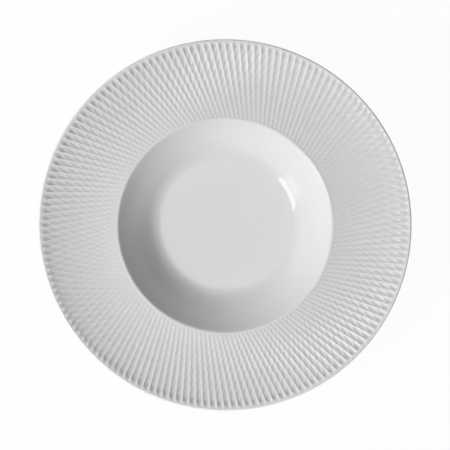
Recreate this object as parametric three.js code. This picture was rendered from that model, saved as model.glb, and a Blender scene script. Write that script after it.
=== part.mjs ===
// Deep pasta plate in white glazed porcelain. A round well with sloping walls sits in a wide rim.
// The rim is pressed with straight ribs, which lower ribs cross the other way, so that rows of
// small pits lie between them. Glaze covers the clay, apart from the edge that the plate stands on.
// Millimetres, +Z up, origin on the table under the middle of the plate.

import * as THREE from 'three';

const { degToRad, lerp, euclideanModulo } = THREE.MathUtils;
const quarterTurn = Math.PI / 2;
const fullTurn = Math.PI * 2;

// Whole plate
const plateRadius = 140; // to the outside of the glazed edge
const wallThickness = 5.2; // floor, wall and inner end of the rim, over the glaze on both sides
const lipTopRound = 1; // round edge of the rim, above its outermost line
const lipUnderRound = 2; // and below it
const glazeThickness = 0.4;

// Well, on its glazed face
const wellRadius = 81.3; // where the wall and the rim would meet in a sharp corner
const wellDepth = 28; // from that corner down to the floor
const wallFootSlope = degToRad(38); // the wall is hollow: it steepens from its foot to its top
const wallTopSlope = degToRad(60);
const wellFloorRound = 18; // between floor and wall
const wellEdgeRound = 1.5; // between wall and rim
const wellUnderRound = 6; // between wall and rim, underneath

// Rim: a shallow dish that steepens towards the edge
const rimInnerSlope = degToRad(-0.5);
const rimOuterSlope = degToRad(21);

// Ribs: straight in plan, each on a line that touches one small circle about the plate's axis
const ribCount = 160;
const ribCircleRadius = 24.1;
const wellBandWidth = 1; // plain band between the well's corner and the ribs
const edgeBandWidth = 1.6; // plain band between the ribs and the outside
const ribInnerDepth = 0.18; // from the top of a rib to the bottom of a pit
const ribOuterDepth = 0.75;
const ribEndDepth = 1.2; // of the scoop that ends a groove at its outer side
const ribEndLength = 1.4; // the scoop's steep outer face

// Cross ribs: spirals that lean the other way, lower than the ribs
const crossRibLean = degToRad(26.6); // away from the radius
const crossRibStart = 6.4; // from the ribs' outer ends to the first cross rib, at a groove's middle
const crossRibDrop = 0.48; // top of a cross rib below the ribs, as a share of the pit's depth

// Foot ring, on its bare clay
const footRadius = 47; // middle of the standing face
const footWidth = 3;
const footHeight = 3.4; // from the table to the glazed recess inside the ring
const footFlankSlope = degToRad(70);
const footRound = 2; // where the ring's two flanks meet the plate
const glazeLineHeight = 1.2; // bare clay below this height

// Facets
const glazeSides = 72; // round the glazed faces and the standing face
const claySides = 36; // round the clay under the glaze
const floorSteps = 3;
const wallSteps = 2;
const edgeSteps = 2;
const ribSteps = 3;
const clayRimSteps = 5;
const lipSteps = 2; // on each side of the outermost line
const rimUnderSteps = 2;
const wellUnderSteps = 2;
const baseSteps = 2;
const rootSteps = 1;
const recessSteps = 2;
const radiusTolerance = 1e-9;

// A point of the plate's half section is (distance from the axis, height)
const point = (radius, height) => new THREE.Vector2(radius, height);
const along = (slope) => point(Math.cos(slope), Math.sin(slope));
const offset = (from, direction, distance) => from.clone().addScaledVector(direction, distance);
const bearing = (from, to) => Math.atan2(to.y - from.y, to.x - from.x);

// Points of an arc, with both of its ends
function arc(centre, radius, from, to, steps) {
  return Array.from({ length: steps + 1 }, (_, i) => {
    return offset(centre, along(lerp(from, to, i / steps)), radius);
  });
}

// The first place where a line from start is the given distance from a centre
function reach(start, direction, centre, distance) {
  const away = start.clone().sub(centre);
  const half = away.dot(direction);
  const travel = -half - Math.sqrt(half * half - away.lengthSq() + distance * distance);
  return offset(start, direction, travel);
}

// Where two circles meet, on the right of the way from the first centre to the second
function circlesMeet(centre, radius, second, secondRadius) {
  const way = second.clone().sub(centre);
  const distance = way.length();
  const ahead = (radius ** 2 - secondRadius ** 2 + distance ** 2) / (2 * distance);
  const aside = Math.sqrt(radius ** 2 - ahead ** 2);
  way.normalize();
  return offset(offset(centre, way, ahead), point(way.y, -way.x), aside);
}

// Half section: centres of its arcs, on the glazed face
const floorHeight = footHeight + wallThickness;
const wellCorner = point(wellRadius, floorHeight + wellDepth);

const rimRun = plateRadius - lipTopRound * (1 + Math.sin(rimOuterSlope)) - wellRadius;
const rimCurve = rimRun / (Math.sin(rimOuterSlope) - Math.sin(rimInnerSlope));
const rimCentre = offset(wellCorner, along(rimInnerSlope + quarterTurn), rimCurve);
const lipDown = along(rimOuterSlope - quarterTurn);
const lipTopCentre = offset(rimCentre, lipDown, rimCurve + lipTopRound);
const lipUnderCentre = point(plateRadius - lipUnderRound, lipTopCentre.y);
const ribInnerRadius = wellRadius + wellBandWidth;
const ribOuterRadius = plateRadius - edgeBandWidth;

// Underside of the rim: leaves the lip along the rim's face and is a full wall thick at the well
const lipUnder = offset(lipUnderCentre, lipDown, lipUnderRound);
const wellUnder = offset(wellCorner, along(rimInnerSlope - quarterTurn), wallThickness);
const underWay = wellUnder.clone().sub(lipUnder);
const rimUnderCurve = -underWay.lengthSq() / (2 * underWay.dot(lipDown));
const rimUnderCentre = offset(lipUnder, lipDown, -rimUnderCurve);

const wallRise = wellDepth - wellFloorRound * (1 - Math.cos(wallFootSlope));
const wallCurve = wallRise / (Math.cos(wallFootSlope) - Math.cos(wallTopSlope));
const outerWallCurve = wallCurve + wallThickness;
const wallCentre = offset(wellCorner, along(wallTopSlope + quarterTurn), wallCurve);
const wallFootBearing = wallFootSlope - quarterTurn;
const floorCentre = offset(wallCentre, along(wallFootBearing), wallCurve - wellFloorRound);

const wellEdgeCentre = circlesMeet(
  wallCentre, wallCurve + wellEdgeRound, rimCentre, rimCurve + wellEdgeRound,
);
const wellUnderCentre = circlesMeet(
  wallCentre, outerWallCurve + wellUnderRound, rimUnderCentre, rimUnderCurve + wellUnderRound,
);

// Flanks of the foot ring: each starts at an edge of the standing face and leans away from the other
const outerFlank = {
  start: point(footRadius + footWidth / 2, 0),
  direction: along(footFlankSlope),
  normal: along(footFlankSlope - quarterTurn),
};
const innerFlank = {
  start: point(footRadius - footWidth / 2, 0),
  direction: along(Math.PI - footFlankSlope),
  normal: along(Math.PI - footFlankSlope + quarterTurn),
};
const baseCurve = wellFloorRound + wallThickness;
const outerRootCentre = reach(
  offset(outerFlank.start, outerFlank.normal, glazeThickness + footRound),
  outerFlank.direction, floorCentre, baseCurve + footRound,
);
const innerRootCentre = flankPoint(innerFlank, footHeight - footRound, glazeThickness + footRound);

// The point of a flank at a height, with so much standing on the clay
function flankPoint(flank, height, cover) {
  const foot = offset(flank.start, flank.normal, cover);
  return offset(foot, flank.direction, (height - foot.y) / flank.direction.y);
}

// Runs of the half section, each point so far inside the glazed face
function wellRun(inset) {
  const topBearing = bearing(wallCentre, wellEdgeCentre);
  const rimBearing = bearing(wellEdgeCentre, rimCentre);
  const edgeCurve = wellEdgeRound - inset;
  return [
    ...arc(floorCentre, wellFloorRound + inset, -quarterTurn, wallFootBearing, floorSteps),
    ...arc(wallCentre, wallCurve + inset, wallFootBearing, topBearing, wallSteps).slice(1),
    ...arc(wellEdgeCentre, edgeCurve, topBearing + Math.PI, rimBearing, edgeSteps).slice(1),
  ];
}

function lipRun(inset) {
  const topBearing = rimOuterSlope + quarterTurn;
  const underBearing = rimOuterSlope - quarterTurn;
  return [
    ...arc(lipTopCentre, lipTopRound - inset, topBearing, 0, lipSteps),
    ...arc(lipUnderCentre, lipUnderRound - inset, 0, underBearing, lipSteps).slice(1),
  ];
}

function outsideRun(inset) {
  const lipBearing = rimOuterSlope - quarterTurn;
  const wellBearing = bearing(rimUnderCentre, wellUnderCentre);
  const underBearing = bearing(wellUnderCentre, rimUnderCentre);
  const topBearing = bearing(wallCentre, wellUnderCentre);
  const rootBearing = bearing(floorCentre, outerRootCentre);
  const flankBearing = bearing(outerFlank.normal, point(0, 0));
  const underCurve = wellUnderRound + inset;
  const rootCurve = footRound + inset;
  return [
    ...arc(rimUnderCentre, rimUnderCurve - inset, lipBearing, wellBearing, rimUnderSteps).slice(1, -1),
    ...arc(wellUnderCentre, underCurve, underBearing, topBearing + Math.PI, wellUnderSteps),
    ...arc(wallCentre, outerWallCurve - inset, topBearing, wallFootBearing, wallSteps).slice(1),
    ...arc(floorCentre, baseCurve - inset, wallFootBearing, rootBearing, baseSteps).slice(1),
    ...arc(outerRootCentre, rootCurve, rootBearing + Math.PI, flankBearing, rootSteps).slice(1),
    flankPoint(outerFlank, glazeLineHeight, glazeThickness - inset),
  ];
}

function recessRun(inset) {
  const flankBearing = bearing(innerFlank.normal, point(0, 0));
  return [
    flankPoint(innerFlank, glazeLineHeight, glazeThickness - inset),
    ...arc(innerRootCentre, footRound + inset, flankBearing, quarterTurn, recessSteps),
  ];
}

// Rim and ribs
function rimHeight(radius) {
  const out = radius - rimCentre.x;
  return rimCentre.y - Math.sqrt(rimCurve * rimCurve - out * out);
}

function ribDepth(radius) {
  const share = (radius - ribInnerRadius) / (ribOuterRadius - ribInnerRadius);
  return lerp(ribInnerDepth, ribOuterDepth, share);
}

// How far round a rib has moved at a radius, from its inner end
function ribSwing(radius) {
  return Math.acos(ribCircleRadius / radius) - Math.acos(ribCircleRadius / ribInnerRadius);
}

// Rows of pits between a radius and the first cross rib
function rowsOutside(radius) {
  const startRadius = ribOuterRadius - crossRibStart;
  const crossSwing = Math.tan(crossRibLean) * Math.log(startRadius / radius);
  return (ribCount / fullTurn) * (ribSwing(startRadius) - ribSwing(radius) + crossSwing);
}

function radiusOfRow(row) {
  let low = ribInnerRadius;
  let high = ribOuterRadius;
  while (high - low > radiusTolerance) {
    const middle = (low + high) / 2;
    if (rowsOutside(middle) > row) low = middle;
    else high = middle;
  }
  return low;
}

// Bottom line of a groove, from its inner end out: pits with the cross ribs between them, then the scoop
function grooveLine() {
  const line = [];
  const lastHalfRow = Math.floor(2 * rowsOutside(ribInnerRadius + ribEndLength));
  for (let halfRow = lastHalfRow; halfRow >= 0; halfRow -= 1) {
    const radius = radiusOfRow(halfRow / 2);
    const share = halfRow % 2 === 1 ? 1 : crossRibDrop;
    line.push({ radius, depth: share * ribDepth(radius) });
  }
  line.push({ radius: ribOuterRadius - ribEndLength, depth: ribEndDepth });
  return line;
}

// A closed surface, laid ring by ring from the top of the axis, out over the edge and back underneath.
// A row holds the numbers of its points and their keys, which rise along it.
class Surface {
  constructor() {
    this.coordinates = [];
    this.triangles = [];
    this.facesIn = false;
  }

  place(radius, angle, height) {
    this.coordinates.push(radius * Math.cos(angle), radius * Math.sin(angle), height);
    return this.coordinates.length / 3 - 1;
  }

  face(a, b, c) {
    this.triangles.push(a, ...(this.facesIn ? [c, b] : [b, c]));
  }

  ring(at, sides) {
    const keys = Array.from({ length: sides }, (_, i) => (fullTurn * i) / sides);
    return { ids: keys.map((angle) => this.place(at.x, angle, at.y)), keys };
  }

  // Fills the strip between two rows. The first is on the left, looking along rising keys.
  zip(left, right) {
    let i = 0;
    let j = 0;
    while (i < left.ids.length - 1 || j < right.ids.length - 1) {
      const leftKey = left.keys[i + 1] ?? Infinity;
      const rightKey = right.keys[j + 1] ?? Infinity;
      if (leftKey <= rightKey) {
        this.face(left.ids[i], right.ids[j], left.ids[i + 1]);
        i += 1;
      } else {
        this.face(left.ids[i], right.ids[j], right.ids[j + 1]);
        j += 1;
      }
    }
  }

  zipRings(inner, outer) {
    const closed = ({ ids, keys }) => ({ ids: [...ids, ids[0]], keys: [...keys, keys[0] + fullTurn] });
    this.zip(closed(inner), closed(outer));
  }

  // Lays the rings of a run after the last one, and gives back the new last one
  run(last, points, sides) {
    return points.reduce((ring, at) => {
      const next = this.ring(at, sides);
      this.zipRings(ring, next);
      return next;
    }, last);
  }

  // A flat round face about the axis, which starts a surface or ends it
  startDisc(at, sides) {
    const ring = this.ring(at, sides);
    const middle = this.place(0, 0, at.y);
    ring.ids.forEach((id, i) => this.face(middle, id, ring.ids[(i + 1) % sides]));
    return ring;
  }

  endDisc(ring, height) {
    const middle = this.place(0, 0, height);
    ring.ids.forEach((id, i) => this.face(id, middle, ring.ids[(i + 1) % ring.ids.length]));
  }

  mesh(name, material) {
    const geometry = new THREE.BufferGeometry();
    geometry.setAttribute('position', new THREE.Float32BufferAttribute(this.coordinates, 3));
    geometry.setIndex(this.triangles);
    geometry.computeVertexNormals();
    const mesh = new THREE.Mesh(geometry, material);
    mesh.name = name;
    return mesh;
  }
}

// The ribbed face, from the ring at its inner side to the ring of rib ends at its outer side
function layRibs(surface, innerRing) {
  const pitch = fullTurn / ribCount;
  const groove = grooveLine();
  const ribLine = Array.from({ length: ribSteps + 1 }, (_, i) => {
    return { radius: lerp(ribInnerRadius, ribOuterRadius, i / ribSteps), depth: 0 };
  });
  const layLine = (line, turn) => ({
    ids: line.map(({ radius, depth }) => {
      return surface.place(radius, turn + ribSwing(radius), rimHeight(radius) - depth);
    }),
    keys: line.map(({ radius }) => radius),
  });

  const ribs = Array.from({ length: ribCount }, (_, i) => layLine(ribLine, i * pitch));
  const grooves = ribs.map((_, i) => layLine(groove, (i + 0.5) * pitch));
  ribs.forEach((rib, i) => {
    const next = ribs[(i + 1) % ribCount];
    const between = grooves[i];
    surface.zip(between, rib);
    surface.zip(next, between);
    surface.face(rib.ids[0], between.ids[0], next.ids[0]);
    surface.face(rib.ids.at(-1), next.ids.at(-1), between.ids.at(-1));
  });

  const inner = { ids: ribs.map((rib) => rib.ids[0]), keys: ribs.map((_, i) => i * pitch) };
  surface.zipRings(innerRing, inner);
  const ends = ribs.map((rib, i) => {
    const angle = i * pitch + ribSwing(ribOuterRadius);
    return { id: rib.ids.at(-1), angle: euclideanModulo(angle, fullTurn) };
  });
  ends.sort((a, b) => a.angle - b.angle);
  return { ids: ends.map(({ id }) => id), keys: ends.map(({ angle }) => angle) };
}

// The clay under the main coat, from the middle of the well to the glaze line. Under the ribs it is
// plain and at least one coat below the bottoms of the pits. In the well and on the rim its facets
// touch the round face that they stand for from outside, so the coat is nowhere too thin.
function layCoatedClay(surface) {
  const spread = ({ x, y }) => point(x / Math.cos(Math.PI / claySides), y);
  const [floorEdge, ...well] = wellRun(glazeThickness).map(spread);
  const rim = Array.from({ length: clayRimSteps + 1 }, (_, i) => {
    const radius = lerp(ribInnerRadius, ribOuterRadius - ribEndLength, i / clayRimSteps);
    const deepest = lerp(ribInnerDepth, ribEndDepth, i / clayRimSteps);
    return spread(point(radius, rimHeight(radius) - deepest - glazeThickness));
  });
  const edge = lipRun(glazeThickness).slice(1);
  const rest = [...rim, ...edge, ...outsideRun(glazeThickness)];
  return surface.run(surface.startDisc(floorEdge, claySides), [...well, ...rest], claySides);
}

// Sub-parts
function glazeCoat(material) {
  const surface = new Surface();
  const [floorEdge, ...well] = wellRun(0);
  const wellEdge = surface.run(surface.startDisc(floorEdge, glazeSides), well, glazeSides);
  const ribEnds = layRibs(surface, wellEdge);
  const glazeEnd = surface.run(ribEnds, [...lipRun(0), ...outsideRun(0)], glazeSides);
  surface.facesIn = true;
  const clayEnd = layCoatedClay(surface);
  surface.facesIn = false;
  surface.zipRings(glazeEnd, clayEnd);
  return surface.mesh('glaze_coat', material);
}

function porcelainBody(material) {
  const surface = new Surface();
  const glazeLine = layCoatedClay(surface);
  const standing = [outerFlank.start, innerFlank.start];
  const bareRing = surface.run(glazeLine, standing, glazeSides);
  const recess = surface.run(bareRing, recessRun(glazeThickness), claySides);
  surface.endDisc(recess, footHeight + glazeThickness);
  return surface.mesh('porcelain_body', material);
}

function baseGlaze(material) {
  const surface = new Surface();
  const [clayLine, ...clay] = recessRun(glazeThickness);
  const [glazeLine, ...glaze] = recessRun(0);
  const clayStart = surface.ring(clayLine, claySides);
  const glazeStart = surface.ring(glazeLine, glazeSides);
  surface.zipRings(clayStart, glazeStart);
  surface.endDisc(surface.run(glazeStart, glaze, glazeSides), footHeight);
  surface.facesIn = true;
  surface.endDisc(surface.run(clayStart, clay, claySides), footHeight + glazeThickness);
  return surface.mesh('base_glaze', material);
}

const glazeMaterial = new THREE.MeshStandardMaterial({ color: '#f1f1f0', roughness: 0.12, metalness: 0 });
const clayMaterial = new THREE.MeshStandardMaterial({ color: '#e8e5de', roughness: 0.85, metalness: 0 });

const plate = new THREE.Group();
plate.add(porcelainBody(clayMaterial), glazeCoat(glazeMaterial), baseGlaze(glazeMaterial));

export default plate;
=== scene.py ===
"""Deep pasta plate in white glazed porcelain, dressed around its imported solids.

The plate's half section is laid out again with fine steps and turned about the axis. The ribs of the
rim are then pressed into the glazed face by Geometry Nodes. Sizes are in millimetres until a mesh is
made, which is in metres, in the frame of the solids.
"""

from __future__ import annotations

import logging
import math
from dataclasses import dataclass, field
from enum import Enum
from typing import ClassVar

import bpy
from mathutils import Matrix, Vector


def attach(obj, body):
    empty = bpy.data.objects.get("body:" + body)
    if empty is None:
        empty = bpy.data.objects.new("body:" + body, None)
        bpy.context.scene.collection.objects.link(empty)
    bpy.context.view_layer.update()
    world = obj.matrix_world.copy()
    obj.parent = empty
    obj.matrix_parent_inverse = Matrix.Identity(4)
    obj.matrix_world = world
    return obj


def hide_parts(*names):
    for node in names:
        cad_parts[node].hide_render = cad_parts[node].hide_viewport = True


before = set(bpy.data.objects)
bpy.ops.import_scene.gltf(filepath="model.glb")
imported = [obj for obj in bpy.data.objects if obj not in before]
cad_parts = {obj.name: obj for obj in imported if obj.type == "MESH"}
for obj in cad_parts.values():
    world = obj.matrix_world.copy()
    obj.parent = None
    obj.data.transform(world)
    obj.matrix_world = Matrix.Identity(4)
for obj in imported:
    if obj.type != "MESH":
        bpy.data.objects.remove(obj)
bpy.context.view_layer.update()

LOG = logging.getLogger("pasta_plate")
MM = 0.001
QUARTER_TURN = math.pi / 2
FULL_TURN = math.pi * 2
RIB_FACE = "rib_face"
# Point attribute of each pit's depth share, which darkens the glaze colour as pooled glaze and painted
# shade
PIT_SHADE = "pit"
# Where a cross rib meets the ribs' crests, in rows from where it crosses the grooves
HALF_ROW = 0.5

Colour = tuple[float, float, float, float]


class Slot(Enum):
    """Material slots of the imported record."""

    PORCELAIN = "porcelain"
    GLAZE = "glaze"


class Node(Enum):
    """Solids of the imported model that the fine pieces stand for."""

    BODY = "porcelain_body"
    COAT = "glaze_coat"
    RECESS = "base_glaze"


# Helpers that several classes use


def grey(level: float) -> Colour:
    """Gives the opaque colour of a grey level."""
    return (level, level, level, 1.0)


def sky_direction(azimuth: float, zenith: float) -> Vector:
    """Gives the unit vector at an azimuth and an angle from straight up, both in degrees."""
    turn, lean = math.radians(azimuth), math.radians(zenith)
    return Vector((math.sin(lean) * math.cos(turn), math.sin(lean) * math.sin(turn), math.cos(lean)))


def new_object(name: str, data: bpy.types.ID) -> bpy.types.Object:
    """Makes an object and links it to the scene.

    Args:
        name: Its name.
        data: The mesh, lamp or camera that it holds.

    Returns:
        The new object.
    """
    made = bpy.data.objects.new(name, data)
    bpy.context.scene.collection.objects.link(made)
    return made


# Plane geometry of the half section: a point is (distance from the axis, height)


def along(bearing: float) -> Vector:
    """Gives the unit vector on a bearing, in radians from the outward direction."""
    return Vector((math.cos(bearing), math.sin(bearing)))


def bearing(way: Vector) -> float:
    """Gives the bearing of a direction, in radians."""
    return math.atan2(way.y, way.x)


def bearing_of(start: Vector, end: Vector) -> float:
    """Gives the bearing from one point to another, in radians."""
    return math.atan2(end.y - start.y, end.x - start.x)


def arc(centre: Vector, radius: float, first: float, last: float, steps: int) -> list[Vector]:
    """Lays points on an arc, with both of its ends.

    Args:
        centre: Centre of the arc.
        radius: Its radius.
        first: Bearing of its first point from the centre.
        last: Bearing of its last point.
        steps: How many equal steps it has.

    Returns:
        The points in order.
    """
    turn = (last - first) / steps
    return [centre + radius * along(first + turn * i) for i in range(steps + 1)]


def line_meets_circle(start: Vector, direction: Vector, centre: Vector, radius: float) -> Vector:
    """Finds the first place where a line meets a circle.

    Args:
        start: A point of the line.
        direction: Its unit direction.
        centre: Centre of the circle.
        radius: Its radius.

    Returns:
        The meeting point that comes first along the direction.
    """
    away = start - centre
    half = away.dot(direction)
    return start + direction * (-half - math.sqrt(half**2 - away.length_squared + radius**2))


def circles_meet(centre: Vector, radius: float, other: Vector, other_radius: float) -> Vector:
    """Finds where two circles meet, on the right of the way from the first centre to the other.

    Args:
        centre: Centre of the first circle.
        radius: Its radius.
        other: Centre of the other circle.
        other_radius: Its radius.

    Returns:
        The meeting point.
    """
    way = other - centre
    distance = way.length
    ahead = (radius**2 - other_radius**2 + distance**2) / (2 * distance)
    aside = math.sqrt(radius**2 - ahead**2)
    way.normalize()
    return centre + ahead * way + aside * Vector((way.y, -way.x))


@dataclass(frozen=True)
class PlateSizes:
    """Sizes of the plate, in millimetres and degrees.

    They are the solids' own sizes, apart from the rounds of the well's edge and of the foot's edges.
    """

    plate_radius: float = 140.0
    wall_thickness: float = 5.2
    lip_top_round: float = 1.0
    lip_under_round: float = 2.0
    glaze_thickness: float = 0.4
    well_radius: float = 81.3
    well_depth: float = 28.0
    wall_foot_slope: float = 38.0
    wall_top_slope: float = 60.0
    well_floor_round: float = 18.0
    well_edge_round: float = 2.2
    well_under_round: float = 6.0
    rim_inner_slope: float = -0.5
    rim_outer_slope: float = 21.0
    foot_radius: float = 47.0
    foot_width: float = 3.0
    foot_height: float = 3.4
    foot_flank_slope: float = 70.0
    foot_round: float = 2.0
    foot_edge_round: float = 0.35
    glaze_line_height: float = 1.2


@dataclass(frozen=True)
class RibSizes:
    """Sizes of the pressed ribs, in millimetres and degrees, with the last three as shares."""

    HALVINGS: ClassVar[int] = 48
    count: int = 160
    circle_radius: float = 24.1
    inner_radius: float = 82.7
    outer_radius: float = 138.4
    inner_depth: float = 0.22
    outer_depth: float = 0.75
    end_depth: float = 1.3
    inner_fade: float = 0.6
    end_length: float = 3.4
    scoop_length: float = 6.4
    end_lift: float = 0.7
    cross_lean: float = 26.6
    cross_start: float = 6.4
    cross_drop: float = 0.45
    crest_round: float = 0.02
    end_scoop: float = 0.4

    def swing(self, radius: float) -> float:
        """Gives how far round a rib has moved at a radius, from its inner end, in radians."""
        inner = math.acos(self.circle_radius / self.inner_radius)
        return math.acos(self.circle_radius / radius) - inner

    def rows_outside(self, radius: float) -> float:
        """Counts the rows of pits between a radius and the outermost cross rib.

        Args:
            radius: Distance from the axis.

        Returns:
            The count, below 0 outside that cross rib.
        """
        start = self.outer_radius - self.cross_start
        cross_swing = math.tan(math.radians(self.cross_lean)) * math.log(start / radius)
        turned = self.swing(start) - self.swing(radius) + cross_swing
        return self.count / FULL_TURN * turned

    def radius_of_row(self, row: float) -> float:
        """Finds the radius that has so many rows of pits between it and the outermost cross rib.

        Args:
            row: Count of rows, which need not be whole.

        Returns:
            The radius in millimetres.
        """
        low, high = self.inner_radius, self.outer_radius
        for _ in range(self.HALVINGS):
            middle = (low + high) / 2
            if self.rows_outside(middle) > row:
                low = middle
            else:
                high = middle
        return low


@dataclass(frozen=True)
class FaceSteps:
    """How many steps the points of one face take along each of its arcs."""

    floor: int
    wall: int
    edge: int
    lip: int
    under_rim: int
    under_edge: int
    outer_wall: int
    base: int
    root: int
    recess: int


class HalfSection:
    """The plate's half section, with the centres of its arcs and the runs of points on its faces."""

    FOOT_EDGE_STEPS = 4

    def __init__(self, sizes: PlateSizes) -> None:
        """Works out the centres of all arcs.

        Args:
            sizes: Sizes of the plate.
        """
        self.sizes = sizes
        self.foot_slope = math.radians(sizes.wall_foot_slope)
        self.top_slope = math.radians(sizes.wall_top_slope)
        self.rim_slope = math.radians(sizes.rim_outer_slope)
        self.floor_height = sizes.foot_height + sizes.wall_thickness
        self.well_corner = Vector((sizes.well_radius, self.floor_height + sizes.well_depth))
        self._place_rim()
        self._place_well()
        self._place_foot()

    def _place_rim(self) -> None:
        """Places the dished rim and its round lip."""
        inner_slope = math.radians(self.sizes.rim_inner_slope)
        top_round, under_round = self.sizes.lip_top_round, self.sizes.lip_under_round
        lip_reach = top_round * (1 + math.sin(self.rim_slope))
        run = self.sizes.plate_radius - lip_reach - self.sizes.well_radius
        self.rim_curve = run / (math.sin(self.rim_slope) - math.sin(inner_slope))
        self.rim_centre = self.well_corner + self.rim_curve * along(inner_slope + QUARTER_TURN)
        down = along(self.rim_slope - QUARTER_TURN)
        self.lip_top_centre = self.rim_centre + (self.rim_curve + top_round) * down
        under_radius = self.sizes.plate_radius - under_round
        self.lip_under_centre = Vector((under_radius, self.lip_top_centre.y))
        lip_under = self.lip_under_centre + under_round * down
        well_under = self.well_corner - self.sizes.wall_thickness * along(inner_slope + QUARTER_TURN)
        way = well_under - lip_under
        self.under_curve = -way.length_squared / (2 * way.dot(down))
        self.under_rim_centre = lip_under - self.under_curve * down

    def _place_well(self) -> None:
        """Places the round of the floor, the hollow wall and the two rounds of the well's edge."""
        sizes = self.sizes
        wall_rise = sizes.well_depth - sizes.well_floor_round * (1 - math.cos(self.foot_slope))
        self.wall_curve = wall_rise / (math.cos(self.foot_slope) - math.cos(self.top_slope))
        self.wall_centre = self.well_corner + self.wall_curve * along(self.top_slope + QUARTER_TURN)
        down = along(self.foot_slope - QUARTER_TURN)
        self.floor_centre = self.wall_centre + (self.wall_curve - sizes.well_floor_round) * down
        edge, under = sizes.well_edge_round, sizes.well_under_round
        self.edge_centre = circles_meet(
            self.wall_centre, self.wall_curve + edge, self.rim_centre, self.rim_curve + edge
        )
        self.outer_wall_curve = self.wall_curve + sizes.wall_thickness
        self.under_centre = circles_meet(
            self.wall_centre, self.outer_wall_curve + under, self.under_rim_centre, self.under_curve + under
        )

    def _place_foot(self) -> None:
        """Places the two flanks of the foot ring and the rounds at their roots."""
        sizes = self.sizes
        slope = math.radians(sizes.foot_flank_slope)
        self.outer_start = Vector((sizes.foot_radius + sizes.foot_width / 2, 0.0))
        self.outer_way = along(slope)
        self.outer_normal = along(slope - QUARTER_TURN)
        self.inner_start = Vector((sizes.foot_radius - sizes.foot_width / 2, 0.0))
        self.inner_way = along(math.pi - slope)
        self.inner_normal = along(math.pi - slope + QUARTER_TURN)
        self.base_curve = sizes.well_floor_round + sizes.wall_thickness
        cover = sizes.glaze_thickness + sizes.foot_round
        self.outer_root = line_meets_circle(
            self.outer_start + cover * self.outer_normal,
            self.outer_way,
            self.floor_centre,
            self.base_curve + sizes.foot_round,
        )
        self.inner_root = self.inner_flank(sizes.foot_height - sizes.foot_round, cover)

    def outer_flank(self, height: float, cover: float) -> Vector:
        """Gives the outer flank's point at a height, with so much standing on the clay."""
        start = self.outer_start + cover * self.outer_normal
        return start + self.outer_way * ((height - start.y) / self.outer_way.y)

    def inner_flank(self, height: float, cover: float) -> Vector:
        """Gives the inner flank's point at a height, with so much standing on the clay."""
        start = self.inner_start + cover * self.inner_normal
        return start + self.inner_way * ((height - start.y) / self.inner_way.y)

    def rim_height(self, radius: float) -> float:
        """Gives the height of the rim's face before the ribs are pressed."""
        out = radius - self.rim_centre.x
        return self.rim_centre.y - math.sqrt(self.rim_curve**2 - out**2)

    def well_run(self, inset: float, steps: FaceSteps) -> list[Vector]:
        """Lays points from the edge of the flat floor, up the wall, to the rim.

        Args:
            inset: How far inside the glazed face the points lie.
            steps: Steps of the face.

        Returns:
            The points in order.
        """
        sizes = self.sizes
        foot = self.foot_slope - QUARTER_TURN
        top = bearing_of(self.wall_centre, self.edge_centre)
        rim = bearing_of(self.edge_centre, self.rim_centre)
        floor_curve = sizes.well_floor_round + inset
        round_floor = arc(self.floor_centre, floor_curve, -QUARTER_TURN, foot, steps.floor)
        hollow_wall = arc(self.wall_centre, self.wall_curve + inset, foot, top, steps.wall)
        edge_curve = sizes.well_edge_round - inset
        round_edge = arc(self.edge_centre, edge_curve, top + math.pi, rim, steps.edge)
        return round_floor + hollow_wall[1:] + round_edge[1:]

    def lip_run(self, inset: float, steps: FaceSteps) -> list[Vector]:
        """Lays points round the lip, with as many steps above its outermost line as below.

        Args:
            inset: How far inside the glazed face the points lie.
            steps: Steps of the face.

        Returns:
            The points in order.
        """
        top = self.rim_slope + QUARTER_TURN
        upper = arc(self.lip_top_centre, self.sizes.lip_top_round - inset, top, 0.0, steps.lip)
        under_curve = self.sizes.lip_under_round - inset
        lower = arc(self.lip_under_centre, under_curve, 0.0, top - math.pi, steps.lip)
        return upper + lower[1:]

    def under_rim_run(self, inset: float, steps: FaceSteps) -> list[Vector]:
        """Lays points between the lip and the outside of the well, without the end points.

        Args:
            inset: How far inside the glazed face the points lie.
            steps: Steps of the face.

        Returns:
            The points in order.
        """
        lip = self.rim_slope - QUARTER_TURN
        well = bearing_of(self.under_rim_centre, self.under_centre)
        return arc(self.under_rim_centre, self.under_curve - inset, lip, well, steps.under_rim)[1:-1]

    def outside_run(self, inset: float, steps: FaceSteps) -> list[Vector]:
        """Lays points from under the rim, down the outside, to the glaze line on the foot ring.

        Args:
            inset: How far inside the glazed face the points lie.
            steps: Steps of the face.

        Returns:
            The points in order.
        """
        sizes = self.sizes
        top = bearing_of(self.wall_centre, self.under_centre)
        foot = self.foot_slope - QUARTER_TURN
        root_bearing = bearing_of(self.floor_centre, self.outer_root)
        flank = bearing(-self.outer_normal)
        under_curve = sizes.well_under_round + inset
        rim = bearing_of(self.under_centre, self.under_rim_centre)
        points = arc(self.under_centre, under_curve, rim, top + math.pi, steps.under_edge)
        wall_curve = self.outer_wall_curve - inset
        points += arc(self.wall_centre, wall_curve, top, foot, steps.outer_wall)[1:]
        base_curve = self.base_curve - inset
        points += arc(self.floor_centre, base_curve, foot, root_bearing, steps.base)[1:]
        root_curve = sizes.foot_round + inset
        points += arc(self.outer_root, root_curve, root_bearing + math.pi, flank, steps.root)[1:]
        return points + [self.outer_flank(sizes.glaze_line_height, sizes.glaze_thickness - inset)]

    def recess_run(self, inset: float, steps: FaceSteps) -> list[Vector]:
        """Lays points from the inner glaze line to the edge of the recess's flat ceiling.

        Args:
            inset: How far inside the glazed face the points lie.
            steps: Steps of the face.

        Returns:
            The points in order.
        """
        sizes = self.sizes
        flank = bearing(-self.inner_normal)
        line = self.inner_flank(sizes.glaze_line_height, sizes.glaze_thickness - inset)
        root_curve = sizes.foot_round + inset
        return [line] + arc(self.inner_root, root_curve, flank, QUARTER_TURN, steps.recess)

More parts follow.
